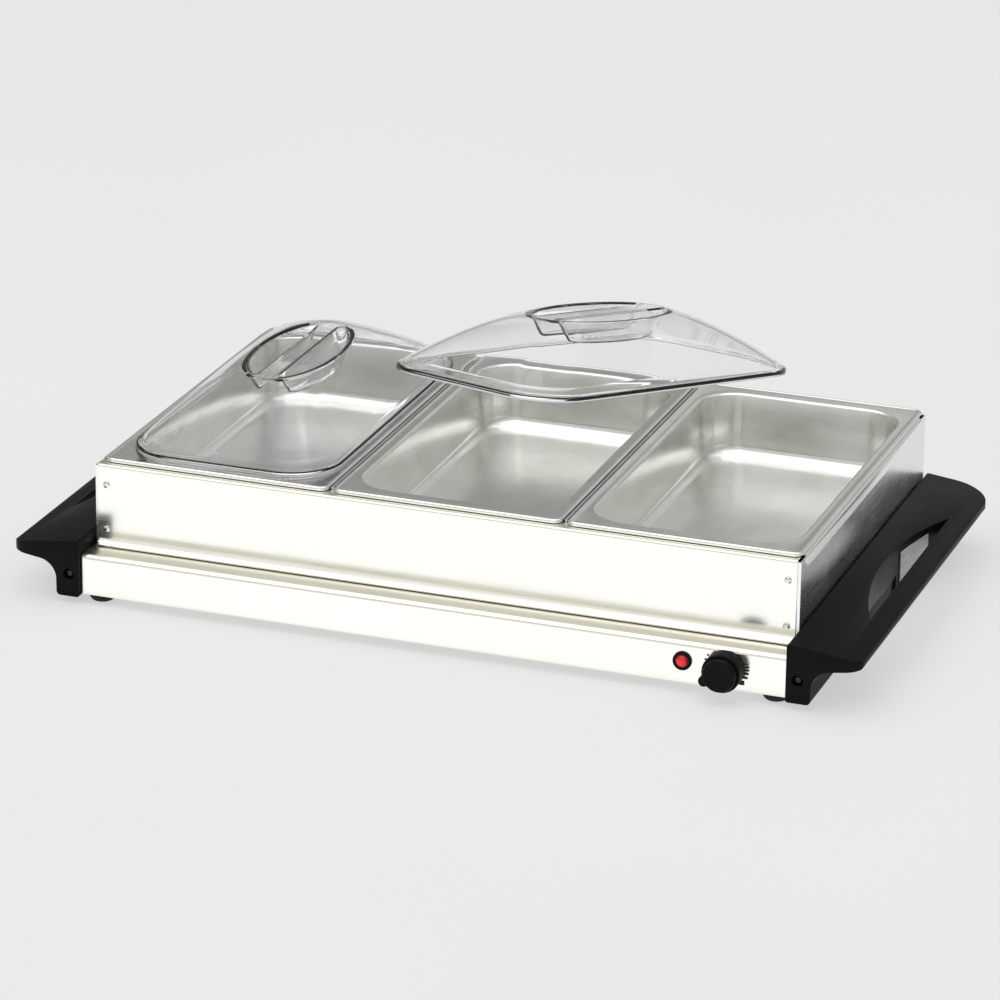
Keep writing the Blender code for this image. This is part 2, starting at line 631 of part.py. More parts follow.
def riser_side(side, name):
    """A wall with end flanges behind the front and back panels, and a fold along its top."""
    hem = 0.0018
    flange_top = RISER_TOP - SHEET - 0.0006
    front_y = RISER_FRONT + SHEET + GAP
    back_y = RISER_BACK - SHEET - GAP
    fold_front, fold_back = RISER_FRONT + 0.0135, RISER_BACK - 0.0135
    outer, inner, shelf = HALF_WIDTH, HALF_WIDTH - 0.018, HALF_WIDTH - 0.008
    low = BASE_TOP + 0.0005
    mesh = bpy.data.meshes.new(name)
    bm = bmesh.new()

    def column(x, y, heights):
        return [bm.verts.new((side * x, y, z)) for z in heights]

    low_heights = (low, flange_top)
    wall_heights = (low, flange_top, RISER_TOP - hem)
    front_flange = column(inner, front_y, low_heights)
    corner_front = column(outer, front_y, low_heights)
    wall_front = column(outer, fold_front, wall_heights)
    wall_back = column(outer, fold_back, wall_heights)
    corner_back = column(outer, back_y, low_heights)
    back_flange = column(inner, back_y, low_heights)
    columns = [front_flange, corner_front, wall_front, wall_back, corner_back, back_flange]
    for a, b in zip(columns, columns[1:]):
        for level in range(min(len(a), len(b)) - 1):
            bm.faces.new((a[level], b[level], b[level + 1], a[level + 1]))
    previous = (wall_front[-1], wall_back[-1])
    top_path = arc((outer - hem, RISER_TOP - hem), hem, 0, 90, 3)[1:] + [(shelf, RISER_TOP)]
    for x, z in top_path:
        row = (bm.verts.new((side * x, fold_front, z)), bm.verts.new((side * x, fold_back, z)))
        bm.faces.new((previous[0], previous[1], row[1], row[0]))
        previous = row
    if side < 0:
        bmesh.ops.reverse_faces(bm, faces=bm.faces)
    bm.to_mesh(mesh)
    bm.free()
    part = add_part(name, mesh, "stainless")
    solidify(part, SHEET, -1.0)
    return part


def divider_bar(name, x):
    """A flat strip under the tray rims with a thin rib that shows between them."""
    strip_half, rib_half = 0.0080, 0.0008
    strip_low, strip_top, rib_top = 0.0971, 0.0981, 0.1016
    outline = [(x - strip_half, strip_low), (x + strip_half, strip_low), (x + strip_half, strip_top),
               (x + rib_half, strip_top), (x + rib_half, rib_top), (x - rib_half, rib_top),
               (x - rib_half, strip_top), (x - strip_half, strip_top)]
    ends = (RISER_FRONT + 0.0030, RISER_BACK - 0.0030)
    bar = prism(name, outline, "XZ", ends, "stainless")
    rib_ends = (RISER_FRONT + 0.0128, RISER_BACK - 0.0128)
    for end, (near, far) in (("front", (ends[0] - 0.01, rib_ends[0])), ("back", (rib_ends[1], ends[1] + 0.01))):
        trim = box(f"{name}_{end}_trim", (x - 0.005, near, strip_top), (x + 0.005, far, rib_top + 0.005),
                   "stainless")
        cut(bar, make_cutter(trim))
    return bar


# --- trays and lids ----------------------------------------------------------------------------

def tray_mesh():
    half_x, half_y = TRAY_HALF
    lip = TRAY_TOP - 0.0032
    floor = TRAY_TOP - TRAY_DEPTH + SHEET
    rings = [
        (half_x, half_y, 0.0070, lip),
        (half_x, half_y, 0.0070, TRAY_TOP - 0.0012),
        (half_x - 0.0004, half_y - 0.0004, 0.0066, TRAY_TOP - 0.0004),
        (half_x - 0.0013, half_y - 0.0013, 0.0057, TRAY_TOP),
        (half_x - 0.0085, half_y - 0.0130, 0.0310, TRAY_TOP),
        (half_x - 0.0094, half_y - 0.0139, 0.0301, TRAY_TOP - 0.0005),
        (half_x - 0.0100, half_y - 0.0145, 0.0295, TRAY_TOP - 0.0018),
        (half_x - 0.0148, half_y - 0.0195, 0.0250, floor + 0.0070),
        (half_x - 0.0168, half_y - 0.0215, 0.0230, floor + 0.0020),
        (half_x - 0.0220, half_y - 0.0265, 0.0180, floor),
    ]
    mesh = bpy.data.meshes.new("tray")
    bm = bmesh.new()
    loops = [[bm.verts.new(point) for point in rounded_ring(*ring)] for ring in rings]
    bridge_rings(bm, loops)
    bm.faces.new(loops[-1])
    bmesh.ops.recalc_face_normals(bm, faces=bm.faces)
    up = max(bm.faces, key=lambda face: face.calc_area())
    if up.normal.z < 0:
        bmesh.ops.reverse_faces(bm, faces=bm.faces)
    bm.to_mesh(mesh)
    bm.free()
    return mesh


def well_depth(x, y):
    """0 on the grip's rim and bar, 1 on the floor of its two half-moon finger wells."""
    wall = 0.0065
    edge = (1.0 - math.hypot(x / GRIP_HALF[0], y / GRIP_HALF[1])) * GRIP_HALF[0]
    bar = abs(x) - GRIP_BAR_HALF
    share = max(0.0, min(1.0, min(edge, bar) / wall))
    return share * share * (3.0 - 2.0 * share)


def lid_mesh():
    """Clear lid: rim, dome, and a sunk oval grip with a bar between two finger wells."""
    half_x, half_y = LID_HALF
    corner = LID_CORNER
    steps = CORNER_STEPS
    rim = [
        (half_x, half_y, corner, 0.0),
        (half_x, half_y, corner, 0.0026),
        (half_x - 0.0012, half_y - 0.0012, corner - 0.001, 0.0036),
        (half_x - 0.0042, half_y - 0.0042, corner - 0.004, 0.0040),
    ]
    base = rounded_ring(half_x - 0.0056, half_y - 0.0056, corner - 0.005, 0.0052, steps)
    count = 4 * (steps + 1)
    angles = []
    for quarter in range(4):
        for i in range(steps + 1):
            angles.append(math.radians(90 * quarter + (90.0 / (steps + 1)) * (i + 0.5)))
    oval = [(GRIP_HALF[0] * math.cos(a), GRIP_HALF[1] * math.sin(a), LID_RISE) for a in angles]
    rings = [rounded_ring(*ring, steps) for ring in rim] + [base]
    dome_steps = 5
    for k in range(1, dome_steps + 1):
        t = k / dome_steps
        rise = 1.0 - (1.0 - t) ** DOME_POWER
        ring = []
        for outer, inner in zip(base, oval):
            x = outer[0] + (inner[0] - outer[0]) * t
            y = outer[1] + (inner[1] - outer[1]) * t
            ring.append((x, y, outer[2] + (LID_RISE - outer[2]) * rise))
        rings.append(ring)

    mesh = bpy.data.meshes.new("lid")
    bm = bmesh.new()
    loops = [[bm.verts.new(point) for point in ring] for ring in rings]
    bridge_rings(bm, loops)
    # the grip: straight columns of points between the oval's +Y and -Y sides
    last = loops[-1]
    half = count // 2
    segments = 8
    columns = []
    for i in range(half):
        top, bottom = last[i], last[count - 1 - i]
        column = [bottom]
        for j in range(1, segments):
            share = 0.5 - 0.5 * math.cos(math.pi * j / segments)
            x = bottom.co.x
            y = bottom.co.y + (top.co.y - bottom.co.y) * share
            column.append(bm.verts.new((x, y, LID_RISE - GRIP_WELL_DEPTH * well_depth(x, y))))
        column.append(top)
        columns.append(column)
    for right, left in zip(columns, columns[1:]):
        for j in range(segments):
            bm.faces.new((right[j], right[j + 1], left[j + 1], left[j]))
    for column in (columns[0], columns[-1]):
        bm.faces.new(column if column is columns[-1] else column[::-1])
    bmesh.ops.recalc_face_normals(bm, faces=bm.faces)
    up = min(bm.faces, key=lambda face: face.calc_center_median().xy.length)
    if up.normal.z < 0:
        bmesh.ops.reverse_faces(bm, faces=bm.faces)
    bm.to_mesh(mesh)
    bm.free()
    return mesh


def trays_and_lids(riser_empty):
    shared_tray, shared_lid = tray_mesh(), lid_mesh()
    empties = {}
    for i, hand in enumerate(("left", "middle", "right")):
        x = TRAY_SHIFT + (i - 1) * TRAY_PITCH
        empties[hand] = joint_empty(f"tray_{hand}_lift", (x, TRAY_CENTRE_Y, TRAY_TOP), riser_empty)
        tray = add_part(f"tray_{hand}", shared_tray, "tray_steel")
        tray.location = (x, TRAY_CENTRE_Y, 0.0)
        solidify(tray, SHEET)
        attach([tray], empties[hand])
    seated = Matrix.Translation((TRAY_SHIFT - TRAY_PITCH + 0.0008, TRAY_CENTRE_Y, TRAY_TOP + GAP))
    about_z, about_x, about_y = (math.radians(angle) for angle in RAISED_LID_TURN)
    raised = (Matrix.Translation(RAISED_LID_PLACE) @ Matrix.Rotation(about_z, 4, "Z")
              @ Matrix.Rotation(about_x, 4, "X") @ Matrix.Rotation(about_y, 4, "Y"))
    for hand, place in (("left", seated), ("middle", raised)):
        lift = joint_empty(f"lid_{hand}_lift", place.translation, empties[hand])
        lid = add_part(f"lid_{hand}", shared_lid, "clear_lid")
        lid.matrix_world = place
        solidify(lid, LID_WALL, even=False)
        triangulate(lid)
        attach([lid], lift)


def main():
    base_sheet_metal()
    feet()
    handles()
    rating_plate()
    controls()
    heater()
    riser_empty = riser()
    trays_and_lids(riser_empty)
    bpy.context.view_layer.update()


main()
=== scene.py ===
"""Looks of the electric buffet server: fine surfaces, materials, studio and camera round the CAD frame.

All lengths are metres in the CAD frame: +X along the row of trays, +Y away from the control panel, +Z up.
"""
import json
import math

import bmesh
import bpy
from mathutils import Matrix, Vector


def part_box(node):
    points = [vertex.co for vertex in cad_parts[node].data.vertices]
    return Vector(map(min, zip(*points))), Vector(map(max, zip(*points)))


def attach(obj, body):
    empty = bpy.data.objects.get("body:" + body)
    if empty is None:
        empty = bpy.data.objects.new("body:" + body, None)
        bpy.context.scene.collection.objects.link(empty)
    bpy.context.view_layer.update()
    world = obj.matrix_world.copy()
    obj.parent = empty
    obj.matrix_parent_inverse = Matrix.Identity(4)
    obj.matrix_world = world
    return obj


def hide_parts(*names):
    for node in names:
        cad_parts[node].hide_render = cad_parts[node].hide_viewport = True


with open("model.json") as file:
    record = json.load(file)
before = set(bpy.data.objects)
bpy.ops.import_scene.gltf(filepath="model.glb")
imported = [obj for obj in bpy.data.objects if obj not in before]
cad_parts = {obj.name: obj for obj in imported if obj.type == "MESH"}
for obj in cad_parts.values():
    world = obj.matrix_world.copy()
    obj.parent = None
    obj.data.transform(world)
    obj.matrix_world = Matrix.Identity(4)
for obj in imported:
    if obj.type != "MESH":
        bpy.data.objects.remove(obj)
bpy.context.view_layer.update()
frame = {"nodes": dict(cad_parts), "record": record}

# --- driving dimensions ------------------------------------------------------------------------

SHEET = 0.0009                 # stainless sheet thickness
CORNER_STEPS = 14              # steps of a quarter corner on the fine rings

# Each tray section is an inset in x, an inset in y, and a corner radius, from the pan's outer edge.
TRAY_OUTER = (0.0, 0.0, 0.0070)
TRAY_MOUTH = (0.0082, 0.0126, 0.0314)
TRAY_WALL_FOOT = (0.0146, 0.0193, 0.0252)
TRAY_FLOOR_ROUND = (0.0231, 0.0278, 0.0167)
TRAY_FLOOR_FLAT = (0.0300, 0.0350, 0.0110)
TRAY_ROLL = 0.0017             # radius of the rolled rim
TRAY_FLANGE_DROP = 0.0006      # how far the flat flange lies below the rolled rim
TRAY_MOUTH_RADIUS = 0.0026
TRAY_FLOOR_RADIUS = 0.0085

LID_CORNER = 0.040
LID_WALL = 0.0020
LID_RISE = 0.0425
LID_STEPS = 160                # points round the lid
LID_RIM = ((0.0, 0.0), (0.0, 0.0022), (0.0003, 0.0030), (0.0012, 0.0036), (0.0026, 0.0039),
           (0.0042, 0.0040), (0.0048, 0.0043), (0.0052, 0.0050))   # inset and height, from the edge inwards
DOME_FOOT = (0.0056, 0.0062)   # inset and height where the dome starts
DOME_POWER = 1.45              # 1 is a straight slope; more is a rounder shoulder
DOME_STEPS = 18
GRIP_HALF = (0.0315, 0.0695)   # half axes of the oval grip
GRIP_STEPS = 44                # rows across the grip
GRIP_BAR_HALF = 0.0080
GRIP_WELL_DEPTH = 0.0160
GRIP_LAND = 0.0008             # flat ring between the oval's edge and its wells
GRIP_RIM_SLOPE = 0.0062        # width of the wells' slope at the rim
GRIP_BAR_SLOPE = 0.0050        # and at the bar
RAISED_LID_TURN = (-20.46, -9.90, -2.43)   # degrees about Z, then its own X, then its own Y

HANDLE_FRONT_RADIUS = 0.012
HANDLE_BACK_RADIUS = 0.032
HANDLE_TIP_RADIUS = 0.0040
SLOT_OUTER = 0.3070
SLOT_INNER = 0.2870
SLOT_MIDDLE_Y = 0.007
SLOT_HALF_LENGTH = 0.108
WEB_X = (0.2760, 0.3010)       # the web below the wing that backs the label
WEB_Y = (0.0375, 0.0935)
WEB_Z = (0.0100, 0.0300)
ABOVE_HANDLE = 0.08            # cutters reach up to here
SCREW_RECESS = ((0.0, -0.0052), (0.0040, -0.0052), (0.0040, -0.0006), (0.0047, 0.0002),
                (0.0047, 0.0050), (0.0, 0.0050))   # radius and height, as in every lathe profile

KNOB_POINTER_ANGLE = 211.0     # degrees from +X towards +Z, seen from the front
KNOB_POINTER_REACH = 0.0144
KNOB_POINTER_RADIUS = 0.0040
KNOB_STEPS = 180
KNOB_EDGE_ROUND = 0.0009
KNOB_SKIRT = 0.62              # share of the knob's depth that the skirt takes
KNOB_CROWN = ((0.86, 0.66), (0.84, 0.93), (0.82, 0.975), (0.78, 1.0), (0.66, 1.0), (0.62, 0.985),
              (0.58, 0.955), (0.30, 0.945), (0.10, 0.943))   # shares of the knob's radius and depth

# The printed scale, from the knob's axis: bars as left, right, low, high; dots as x, z.
PRINT_THICKNESS = 0.00008
SCALE_BARS = ((0.0098, 0.0142, -0.0107, -0.0072), (0.0132, 0.0165, -0.0058, -0.0038),
              (0.0140, 0.0172, -0.0026, -0.0008), (0.0142, 0.0176, 0.0002, 0.0016),
              (0.0140, 0.0174, 0.0026, 0.0038), (0.0130, 0.0162, 0.0048, 0.0058))
SCALE_DOTS = ((-0.0128, 0.0083), (-0.0146, 0.0049), (-0.0153, 0.0015))
SCALE_DOT_RADIUS = 0.00085


# --- node helpers for the materials ------------------------------------------------------------

def new_material(name):
    material = bpy.data.materials.new(name)
    material.use_nodes = True
    tree = material.node_tree
    return material, tree, tree.nodes["Principled BSDF"]


def add_node(tree, kind, sockets=None, **settings):
    made = tree.nodes.new(kind)
    for key, value in settings.items():
        setattr(made, key, value)
    for key, value in (sockets or {}).items():
        made.inputs[key].default_value = value
    return made


def stretched_noise(tree, stretch, detail=4.0, roughness=0.55):
    """Noise in the piece's own coordinates, in cycles per metre along X, Y and Z."""
    place = add_node(tree, "ShaderNodeTexCoord")
    mapping = add_node(tree, "ShaderNodeMapping", {"Scale": stretch})
    noise = add_node(tree, "ShaderNodeTexNoise", {"Scale": 1.0, "Detail": detail, "Roughness": roughness})
    tree.links.new(place.outputs["Object"], mapping.inputs["Vector"])
    tree.links.new(mapping.outputs["Vector"], noise.inputs["Vector"])
    return noise.outputs["Fac"]


def ranged(tree, source, low, high, start=0.3, end=0.7):
    """Maps start..end of a noise to low..high."""
    made = add_node(tree, "ShaderNodeMapRange",
                    {"From Min": start, "From Max": end, "To Min": low, "To Max": high})
    tree.links.new(source, made.inputs["Value"])
    return made.outputs["Result"]


def blended_colour(tree, source, first, second, start=0.35, end=0.65):
    ramp = add_node(tree, "ShaderNodeValToRGB")
    ramp.color_ramp.elements[0].position = start
    ramp.color_ramp.elements[1].position = end
    ramp.color_ramp.elements[0].color = (*first, 1.0)
    ramp.color_ramp.elements[1].color = (*second, 1.0)
    tree.links.new(source, ramp.inputs["Fac"])
    return ramp.outputs["Color"]


def bump(tree, shader, source, strength, distance):
    made = add_node(tree, "ShaderNodeBump", {"Strength": strength, "Distance": distance})
    tree.links.new(source, made.inputs["Height"])
    tree.links.new(made.outputs["Normal"], shader.inputs["Normal"])


# --- materials ---------------------------------------------------------------------------------

def brushed_steel(name, along, tint, rough, grain=0.10):
    """Stainless sheet with fine brush lines along one axis and faint cloudy handling marks."""
    material, tree, shader = new_material(name)
    stretch = [1500.0, 1500.0, 1500.0]
    stretch["XYZ".index(along)] = 14.0
    lines = stretched_noise(tree, stretch, detail=3.0)
    clouds = stretched_noise(tree, (14.0, 14.0, 14.0), detail=2.0)
    darker = [0.97 * value for value in tint]
    tree.links.new(blended_colour(tree, lines, darker, tint), shader.inputs["Base Color"])
    mixed = add_node(tree, "ShaderNodeMath", operation="ADD")
    tree.links.new(ranged(tree, lines, rough - 0.05, rough + 0.05), mixed.inputs[0])
    tree.links.new(ranged(tree, clouds, -0.03, 0.03), mixed.inputs[1])
    tree.links.new(mixed.outputs["Value"], shader.inputs["Roughness"])
    shader.inputs["Metallic"].default_value = 1.0
    bump(tree, shader, lines, grain, 0.00012)
    return material


def tray_steel():
    """Deep-drawn pan: smoother and brighter than the sheets, with soft drawing waves."""
    material, tree, shader = new_material("tray_steel")
    waves = stretched_noise(tree, (30.0, 30.0, 60.0), detail=2.0)
    fine = stretched_noise(tree, (900.0, 900.0, 900.0), detail=2.0)
    tree.links.new(blended_colour(tree, waves, (0.80, 0.80, 0.77), (0.86, 0.86, 0.84)),
                   shader.inputs["Base Color"])
    tree.links.new(ranged(tree, fine, 0.16, 0.24), shader.inputs["Roughness"])
    shader.inputs["Metallic"].default_value = 1.0
    bump(tree, shader, waves, 0.20, 0.0006)
    return material


def moulded_plastic(name, colour, rough, texture=0.25, level=0.35):
    """Satin moulding with a very fine spark-eroded texture and slight rubbing."""
    material, tree, shader = new_material(name)
    fine = stretched_noise(tree, (2600.0, 2600.0, 2600.0), detail=2.0)
    broad = stretched_noise(tree, (22.0, 22.0, 22.0), detail=3.0)
    lighter = [min(1.0, 1.25 * value) for value in colour]
    tree.links.new(blended_colour(tree, broad, colour, lighter), shader.inputs["Base Color"])
    tree.links.new(ranged(tree, broad, rough - 0.04, rough + 0.05), shader.inputs["Roughness"])
    shader.inputs["Specular IOR Level"].default_value = level
    bump(tree, shader, fine, texture, 0.00008)
    return material


def clear_plastic():
    """Clear polycarbonate. Its volume takes a little yellow out, so thick edges look violet grey."""
    material, tree, shader = new_material("clear_lid")
    faint = stretched_noise(tree, (9.0, 9.0, 9.0), detail=1.0)
    tree.links.new(blended_colour(tree, faint, (0.97, 0.97, 0.985), (1.0, 1.0, 1.0)),
                   shader.inputs["Base Color"])
    shader.inputs["Roughness"].default_value = 0.015
    shader.inputs["Transmission Weight"].default_value = 1.0
    shader.inputs["IOR"].default_value = 1.33
    rays = add_node(tree, "ShaderNodeLightPath")
    through = add_node(tree, "ShaderNodeBsdfTransparent", {"Color": (0.93, 0.93, 0.95, 1.0)})
    mix = add_node(tree, "ShaderNodeMixShader")
    output = tree.nodes["Material Output"]
    tree.links.new(rays.outputs["Is Shadow Ray"], mix.inputs["Fac"])
    tree.links.new(shader.outputs["BSDF"], mix.inputs[1])
    tree.links.new(through.outputs["BSDF"], mix.inputs[2])
    tree.links.new(mix.outputs["Shader"], output.inputs["Surface"])
    absorb = add_node(tree, "ShaderNodeVolumeAbsorption", {"Color": (0.52, 0.48, 0.86, 1.0), "Density": 3.5})
    tree.links.new(absorb.outputs["Volume"], output.inputs["Volume"])
    return material


def pilot_red():
    """Red lens with faint ribs; its colour has painted light in the middle and painted shade towards its
    rim.
    """
    material, tree, shader = new_material("pilot_red")
    low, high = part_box("pilot_lens")
    place = add_node(tree, "ShaderNodeTexCoord")
    mapping = add_node(tree, "ShaderNodeMapping",
                       {"Location": (-(low.x + high.x) / 2, 0.0, -(low.z + high.z) / 2),
                        "Scale": (1.0, 0.0, 1.0)})
    length = add_node(tree, "ShaderNodeVectorMath", operation="LENGTH")
    tree.links.new(place.outputs["Object"], mapping.inputs["Vector"])
    tree.links.new(mapping.outputs["Vector"], length.inputs[0])
    radius = (high.x - low.x) / 2
    # Painted light and shade: the base colour runs from a lit bright red in the middle to a shaded dark red
    # at the rim.
    edge = ranged(tree, length.outputs["Value"], 0.0, 1.0, 0.35 * radius, 1.0 * radius)
    tree.links.new(blended_colour(tree, edge, (0.72, 0.020, 0.018), (0.22, 0.006, 0.008), 0.2, 0.9),
                   shader.inputs["Base Color"])
    ribs = stretched_noise(tree, (700.0, 700.0, 700.0), detail=1.0)
    tree.links.new(ranged(tree, ribs, 0.14, 0.22), shader.inputs["Roughness"])
    shader.inputs["Emission Color"].default_value = (0.9, 0.02, 0.02, 1.0)
    shader.inputs["Emission Strength"].default_value = 0.12
    return material


def metal(name, tint, rough, spread=0.06, scale=300.0):
    """Plain bright metal with small spangles."""
    material, tree, shader = new_material(name)
    spangle = stretched_noise(tree, (scale, scale, scale), detail=2.0)
    darker = [0.88 * value for value in tint]
    tree.links.new(blended_colour(tree, spangle, darker, tint), shader.inputs["Base Color"])
    tree.links.new(ranged(tree, spangle, rough - spread, rough + spread), shader.inputs["Roughness"])
    shader.inputs["Metallic"].default_value = 1.0
    bump(tree, shader, spangle, 0.08, 0.0001)
    return material


def wool():
    """Mineral wool mat: matted pale fibres."""
    material, tree, shader = new_material("wool")
    fibres = stretched_noise(tree, (500.0, 140.0, 500.0), detail=6.0, roughness=0.7)
    tree.links.new(blended_colour(tree, fibres, (0.52, 0.46, 0.34), (0.78, 0.73, 0.60)),
                   shader.inputs["Base Color"])
    tree.links.new(ranged(tree, fibres, 0.85, 0.98), shader.inputs["Roughness"])
    bump(tree, shader, fibres, 0.7, 0.001)
    return material


def blank_label():
    """Matt grey label with faint blank bands and no print."""
    material, tree, shader = new_material("grey_label")
    bands = stretched_noise(tree, (8.0, 60.0, 900.0), detail=1.0)
    tree.links.new(blended_colour(tree, bands, (0.33, 0.35, 0.36), (0.50, 0.52, 0.53)),
                   shader.inputs["Base Color"])
    tree.links.new(ranged(tree, bands, 0.40, 0.52), shader.inputs["Roughness"])
    return material


WARM_STEEL = (0.94, 0.92, 0.84)
MATERIALS = {
    "steel_along_x": brushed_steel("steel_along_x", "X", WARM_STEEL, 0.20, 0.035),
    "steel_along_y": brushed_steel("steel_along_y", "Y", (0.86, 0.87, 0.86), 0.26, 0.04),
    "tray_steel": tray_steel(),
    "black_plastic": moulded_plastic("black_plastic", (0.0042, 0.0046, 0.0049), 0.36, 0.18, 0.06),
    "rubber": moulded_plastic("rubber", (0.010, 0.010, 0.010), 0.62, 0.5, 0.3),
    "clear_lid": clear_plastic(),
    "pilot_red": pilot_red(),
    "zinc": metal("zinc", (0.70, 0.70, 0.69), 0.34),
    "black_screw": metal("black_screw", (0.045, 0.045, 0.048), 0.40),
    "rivet": metal("rivet", (0.80, 0.80, 0.79), 0.26),
    "aluminium": metal("aluminium", (0.88, 0.88, 0.89), 0.28),
    "heater_steel": metal("heater_steel", (0.36, 0.33, 0.30), 0.45),
    "cream_plastic": moulded_plastic("cream_plastic", (0.70, 0.66, 0.55), 0.45, 0.2, 0.5),
    "lead_red": moulded_plastic("lead_red", (0.45, 0.05, 0.04), 0.5, 0.3, 0.4),
    "wool": wool(),
    "grey_label": blank_label(),
    "print": moulded_plastic("print", (0.012, 0.012, 0.013), 0.5, 0.1, 0.3),
}


def paint(piece, key):
    piece.data.materials.clear()
    piece.data.materials.append(MATERIALS[key])


# --- mesh helpers ------------------------------------------------------------------------------

def arc(centre, radius, start, end, steps):
    points = []
    for i in range(steps + 1):
        angle = math.radians(start + (end - start) * i / steps)
        points.append((centre[0] + radius * math.cos(angle), centre[1] + radius * math.sin(angle)))
    return points


def new_object(name, bm):
    mesh = bpy.data.meshes.new(name)
    bm.to_mesh(mesh)
    bm.free()
    made = bpy.data.objects.new(name, mesh)
    bpy.context.scene.collection.objects.link(made)
    return made


def add_piece(name, bm, key, body, slot, *stands_for, sharp=35.0):
    """Makes an object of a bmesh, rides it on a body and lets it stand for its CAD nodes."""
    piece = new_object(name, bm)
    piece.data.shade_smooth()
    piece.data.set_sharp_from_angle(angle=math.radians(sharp))
    paint(piece, key)
    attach(piece, body)
    if stands_for:
        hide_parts(*stands_for)
    return piece


def apply_modifiers(piece):
    bpy.context.view_layer.update()
    evaluated = piece.evaluated_get(bpy.context.evaluated_depsgraph_get())
    mesh = bpy.data.meshes.new_from_object(evaluated)
    piece.modifiers.clear()
    piece.data = mesh


def extruded(name, outline, axis, low, high):
    """A closed outline in the plane across axis, as a solid from low to high along it."""
    bm = bmesh.new()
    rows = []
    for level in (low, high):
        row = []
        for a, b in outline:
            place = {"Y": (a, level, b), "Z": (a, b, level)}[axis]
            row.append(bm.verts.new(place))
        rows.append(row)
    count = len(outline)
    for i in range(count):
        j = (i + 1) % count
        bm.faces.new((rows[0][i], rows[0][j], rows[1][j], rows[1][i]))
    bm.faces.new(rows[0][::-1])
    bm.faces.new(rows[1])
    bmesh.ops.recalc_face_normals(bm, faces=bm.faces)
    return new_object(name, bm)


def boolean(piece, cutter, operation):
    made = piece.modifiers.new(cutter.name, "BOOLEAN")
    made.operation = operation
    made.object = cutter
    made.solver = "EXACT"


def turned(bm, profile, centre, axis, steps):
    """Adds a lathe shape: profile of (radius, height) pairs round axis, closed at both ends on it."""
    turn = Vector((0, 0, 1)).rotation_difference(Vector(axis)).to_matrix().to_4x4()
    place = Matrix.Translation(centre) @ turn
    rings = []
    for radius, height in profile:
        if radius == 0.0:
            rings.append([bm.verts.new(place @ Vector((0, 0, height)))])
            continue
        ring = []
        for i in range(steps):
            angle = 2 * math.pi * i / steps
            ring.append(bm.verts.new(place @ Vector((radius * math.cos(angle),
                                                     radius * math.sin(angle), height))))
        rings.append(ring)
    for first, second in zip(rings, rings[1:]):
        for i in range(steps):
            j = (i + 1) % steps
            corners = [first[i % len(first)], first[j % len(first)],
                       second[j % len(second)], second[i % len(second)]]
            bm.faces.new(list(dict.fromkeys(corners)))
    return rings


def rounded_ring(half_x, half_y, radius, height, steps=CORNER_STEPS):
    ring = []
    for quarter, (sx, sy) in enumerate(((1, 1), (-1, 1), (-1, -1), (1, -1))):
        centre = (sx * (half_x - radius), sy * (half_y - radius))
        for x, y in arc(centre, radius, 90 * quarter, 90 * quarter + 90, steps):
            ring.append((x, y, height))
    return ring


def bridge(bm, rings):
    for outer, inner in zip(rings, rings[1:]):
        count = len(outer)
        for i in range(count):
            j = (i + 1) % count
            bm.faces.new((outer[i], outer[j], inner[j], inner[i]))


def thicken(piece, thickness):
    """Gives an open sheet its wall, below or inside the drawn surface."""
    made = piece.modifiers.new("wall", "SOLIDIFY")
    made.thickness = thickness
    made.offset = -1.0
    made.use_even_offset = False
    apply_modifiers(piece)


# --- trays -------------------------------------------------------------------------------------

def tray(name):
    """A pan with a rolled rim, a flat flange, and a deep drawn bowl with rounded corners."""
    low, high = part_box(name)
    half_x, half_y = (high.x - low.x) / 2, (high.y - low.y) / 2
    centre = Vector(((low.x + high.x) / 2, (low.y + high.y) / 2, 0.0))
    top, floor = high.z, low.z + SHEET
    flange = top - TRAY_FLANGE_DROP
    wall_end = floor + TRAY_FLOOR_RADIUS
    rings = []

    def add_ring(section, run, height):
        """A ring of a section, moved inwards by run."""
        inset_x, inset_y, corner = section
        rings.append((half_x - inset_x - run, half_y - inset_y - run, corner - run, height))

    for run, height in arc((TRAY_ROLL, top - TRAY_ROLL), TRAY_ROLL, 262, 50, 14):
        add_ring(TRAY_OUTER, run, height)
    add_ring(TRAY_OUTER, TRAY_ROLL * 2.1, flange)
    add_ring(TRAY_MOUTH, -0.0004, flange)
    for run, drop in arc((0.0, TRAY_MOUTH_RADIUS), TRAY_MOUTH_RADIUS, -90, -8, 6):
        add_ring(TRAY_MOUTH, run, flange - drop)
    add_ring(TRAY_WALL_FOOT, 0.0, wall_end)
    for run, rise in arc((0.0, wall_end), TRAY_FLOOR_RADIUS, 188, 262, 7):
        add_ring(TRAY_FLOOR_ROUND, run, rise)
    add_ring(TRAY_FLOOR_FLAT, 0.0, floor)
    bm = bmesh.new()
    loops = [[bm.verts.new(Vector(point) + centre) for point in rounded_ring(*ring)] for ring in rings]
    bridge(bm, loops)
    bm.faces.new(loops[-1])
    bmesh.ops.recalc_face_normals(bm, faces=bm.faces)
    widest = max(bm.faces, key=lambda face: face.calc_area())
    if widest.normal.z < 0:
        bmesh.ops.reverse_faces(bm, faces=bm.faces)
    piece = add_piece(name + "_pan", bm, "tray_steel", name, "tray_steel", name, sharp=60.0)
    thicken(piece, SHEET)
    return piece


# --- lids --------------------------------------------------------------------------------------

def on_rounded_box(angle, half_x, half_y, radius):
    """The point of a rounded rectangle in the stretched direction of angle."""
    dx, dy = half_x * math.cos(angle), half_y * math.sin(angle)
    low, high = 0.0, 2.0
    for _ in range(30):
        share = (low + high) / 2
        x, y = abs(dx) * share, abs(dy) * share
        over_x, over_y = x - (half_x - radius), y - (half_y - radius)
        if over_x > 0 and over_y > 0:
            outside = math.hypot(over_x, over_y) > radius
        else:
            outside = x > half_x or y > half_y
        low, high = (low, share) if outside else (share, high)
    return dx * low, dy * low


